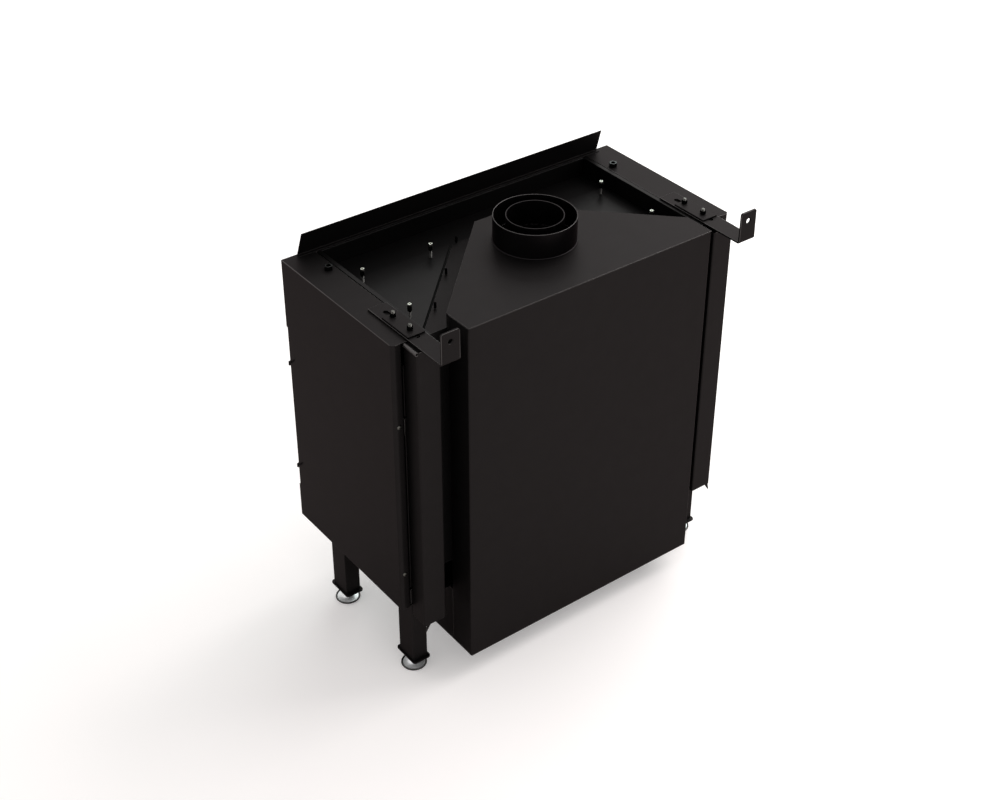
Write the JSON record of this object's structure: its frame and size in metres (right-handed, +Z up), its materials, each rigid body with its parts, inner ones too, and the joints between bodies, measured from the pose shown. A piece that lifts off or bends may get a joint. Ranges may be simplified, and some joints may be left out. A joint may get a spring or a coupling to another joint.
{
  "type": "gas fireplace",
  "caption": "Built-in balanced-flue gas fire: black sheet casing, glass front, log burner, concentric flue collar, relief hatches, wall brackets and adjustable legs.",
  "frame": {"origin": "on the floor, centred under the whole object at the level of the feet", "axes": "+Z up, -Y towards the glass front, +Y towards the rear wall, +X to the right seen from the front"},
  "size_m": [0.748, 0.449, 0.82],
  "materials": {
    "black_paint": "matte heat-resistant black paint",
    "zinc_plate": "zinc plated",
    "chrome_plate": "bright plated",
    "fibre_seal": "woven glass fibre",
    "clear_glass": "clear heat-resistant glass",
    "ceramic": "moulded ceramic, wood-like",
    "lining_board": "dark mineral board",
    "brass": "machined brass",
    "copper": "drawn copper",
    "cast_aluminium": "die cast",
    "stainless_steel": "heat-tinted stainless steel",
    "dark_steel": "black steel bar",
    "black_plastic": "moulded black plastic",
    "red_enamel": "red dipped steel"
  },
  "bodies": {
    "fire": {"air_duct": "black_paint", "air_plenum": "black_paint", "bottom_plate": "black_paint", "burner": "stainless_steel", "ceramic_logs": "ceramic", "clamp_plates": "black_paint", "deflector_plate": "black_paint", "firebox_floor": "black_paint", "firebox_liners": "lining_board", "firebox_roof": "black_paint", "firebox_shell": "black_paint", "flue_baffle": "stainless_steel", "flue_collar_inner": "black_paint", "flue_collar_outer": "black_paint", "front_frame": "black_paint", "gas_pipes": "copper", "gas_valve": "cast_aluminium", "glass_frame": "black_paint", "glass_gasket": "fibre_seal", "glass_pane": "clear_glass", "hatch_gaskets": "fibre_seal", "hatch_guide_screws": "zinc_plate", "hatch_stop_sleeves": "black_paint", "hex_bolts": "zinc_plate", "hood_lid": "black_paint", "hood_studs": "black_paint", "hood_walls": "black_paint", "latch_pins": "zinc_plate", "leg_guides": "black_paint", "log_grate": "dark_steel", "lower_front_cover": "black_paint", "panel_screws": "zinc_plate", "pilot_assembly": "stainless_steel", "rear_channels": "black_paint", "receiver_box": "black_plastic", "roof_rim": "black_paint", "shut_off_valve": "brass", "side_casing_left": "black_paint", "side_casing_right": "black_paint", "top_nuts": "zinc_plate", "upper_front_cover": "black_paint"},
    "glass_latch_lower_left": {"glass_latch_lower_left": "black_paint"},
    "glass_latch_lower_right": {"glass_latch_lower_right": "black_paint"},
    "glass_latch_upper_left": {"glass_latch_upper_left": "black_paint"},
    "glass_latch_upper_right": {"glass_latch_upper_right": "black_paint"},
    "leg_front_left": {"leg_front_left": "black_paint"},
    "leg_front_right": {"leg_front_right": "black_paint"},
    "leg_rear_left": {"leg_rear_left": "black_paint"},
    "leg_rear_right": {"leg_rear_right": "black_paint"},
    "levelling_foot_front_left": {"levelling_foot_front_left": "chrome_plate"},
    "levelling_foot_front_right": {"levelling_foot_front_right": "chrome_plate"},
    "levelling_foot_rear_left": {"levelling_foot_rear_left": "chrome_plate"},
    "levelling_foot_rear_right": {"levelling_foot_rear_right": "chrome_plate"},
    "relief_hatch_left": {"relief_hatch_left": "black_paint"},
    "relief_hatch_right": {"relief_hatch_right": "black_paint"},
    "wall_bracket_left": {"wall_bracket_left": "black_paint"},
    "wall_bracket_right": {"wall_bracket_right": "black_paint"},
    "gas_control_knob": {"gas_control_knob": "black_plastic"},
    "flame_knob": {"flame_knob": "black_plastic"},
    "shut_off_handle": {"shut_off_handle": "red_enamel"}
  },
  "joints": [
    {"name": "relief_hatch_left_lift", "type": "slide", "parent": "fire", "child": "relief_hatch_left", "axis": [0, 0, 1], "range_m": [0, 0.013]},
    {"name": "wall_bracket_left_slide", "type": "slide", "parent": "fire", "child": "wall_bracket_left", "axis": [0, 1, 0], "range_m": [-0.02, 0.02]},
    {"name": "leg_front_left_extend", "type": "slide", "parent": "fire", "child": "leg_front_left", "axis": [0, 0, -1], "range_m": [0, 0.1]},
    {"name": "levelling_foot_front_left_screw", "type": "slide", "parent": "leg_front_left", "child": "levelling_foot_front_left", "axis": [0, 0, -1], "range_m": [0, 0.02]},
    {"name": "leg_rear_left_extend", "type": "slide", "parent": "fire", "child": "leg_rear_left", "axis": [0, 0, -1], "range_m": [0, 0.1]},
    {"name": "levelling_foot_rear_left_screw", "type": "slide", "parent": "leg_rear_left", "child": "levelling_foot_rear_left", "axis": [0, 0, -1], "range_m": [0, 0.02]},
    {"name": "glass_latch_lower_left_swing", "type": "hinge", "parent": "fire", "child": "glass_latch_lower_left", "pos_m": [-0.3685, -0.1955, 0.313], "axis": [-1, 0, 0], "range_deg": [0, 45]},
    {"name": "glass_latch_upper_left_swing", "type": "hinge", "parent": "fire", "child": "glass_latch_upper_left", "pos_m": [-0.3685, -0.1955, 0.548], "axis": [-1, 0, 0], "range_deg": [0, 45]},
    {"name": "relief_hatch_right_lift", "type": "slide", "parent": "fire", "child": "relief_hatch_right", "axis": [0, 0, 1], "range_m": [0, 0.013]},
    {"name": "wall_bracket_right_slide", "type": "slide", "parent": "fire", "child": "wall_bracket_right", "axis": [0, 1, 0], "range_m": [-0.02, 0.02]},
    {"name": "leg_front_right_extend", "type": "slide", "parent": "fire", "child": "leg_front_right", "axis": [0, 0, -1], "range_m": [0, 0.1]},
    {"name": "levelling_foot_front_right_screw", "type": "slide", "parent": "leg_front_right", "child": "levelling_foot_front_right", "axis": [0, 0, -1], "range_m": [0, 0.02]},
    {"name": "leg_rear_right_extend", "type": "slide", "parent": "fire", "child": "leg_rear_right", "axis": [0, 0, -1], "range_m": [0, 0.1]},
    {"name": "levelling_foot_rear_right_screw", "type": "slide", "parent": "leg_rear_right", "child": "levelling_foot_rear_right", "axis": [0, 0, -1], "range_m": [0, 0.02]},
    {"name": "glass_latch_lower_right_swing", "type": "hinge", "parent": "fire", "child": "glass_latch_lower_right", "pos_m": [0.3685, -0.1955, 0.313], "axis": [-1, 0, 0], "range_deg": [0, 45]},
    {"name": "glass_latch_upper_right_swing", "type": "hinge", "parent": "fire", "child": "glass_latch_upper_right", "pos_m": [0.3685, -0.1955, 0.548], "axis": [-1, 0, 0], "range_deg": [0, 45]},
    {"name": "gas_control_knob_turn", "type": "hinge", "parent": "fire", "child": "gas_control_knob", "pos_m": [0.146, -0.1875, 0.204], "axis": [0, -1, 0], "range_deg": [0, 90]},
    {"name": "flame_knob_turn", "type": "hinge", "parent": "fire", "child": "flame_knob", "pos_m": [0.194, -0.1875, 0.204], "axis": [0, -1, 0], "range_deg": [0, 180]},
    {"name": "shut_off_handle_turn", "type": "hinge", "parent": "fire", "child": "shut_off_handle", "pos_m": [-0.195, -0.1525, 0.213], "axis": [0, 0, 1], "range_deg": [0, 90]}
  ]
}
